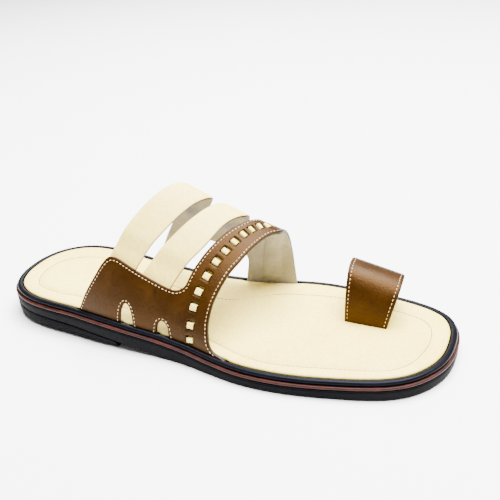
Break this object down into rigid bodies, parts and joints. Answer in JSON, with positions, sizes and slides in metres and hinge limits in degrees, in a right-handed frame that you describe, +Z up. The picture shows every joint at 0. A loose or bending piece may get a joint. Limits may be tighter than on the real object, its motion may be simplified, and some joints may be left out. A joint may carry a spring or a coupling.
{
  "type": "toe-loop sandal",
  "caption": "Flat leather slip-on sandal for the right foot, with a pierced side panel and woven instep band, cream cross straps, a toe loop and a low-heeled layered sole.",
  "frame": {"origin": "on the ground, in the middle of the outsole's length and width", "axes": "+Y to the toes, +X to the wearer's right (the lateral side of this right shoe), +Z up"},
  "size_m": [0.1129, 0.2862, 0.0877],
  "materials": {
    "black_rubber": "satin",
    "welt_leather": "satin",
    "black_leather": "satin",
    "insole_leather": "satin",
    "brown_leather": "satin",
    "cream_leather": "satin"
  },
  "bodies": {
    "root": {"outsole": "black_rubber", "heel": "black_rubber", "welt": "welt_leather", "footbed": "black_leather", "insole": "insole_leather", "upper": "brown_leather", "woven_ribbon": "cream_leather", "rear_strap": "cream_leather", "front_strap": "cream_leather", "toe_loop": "brown_leather"}
  },
  "joints": []
}
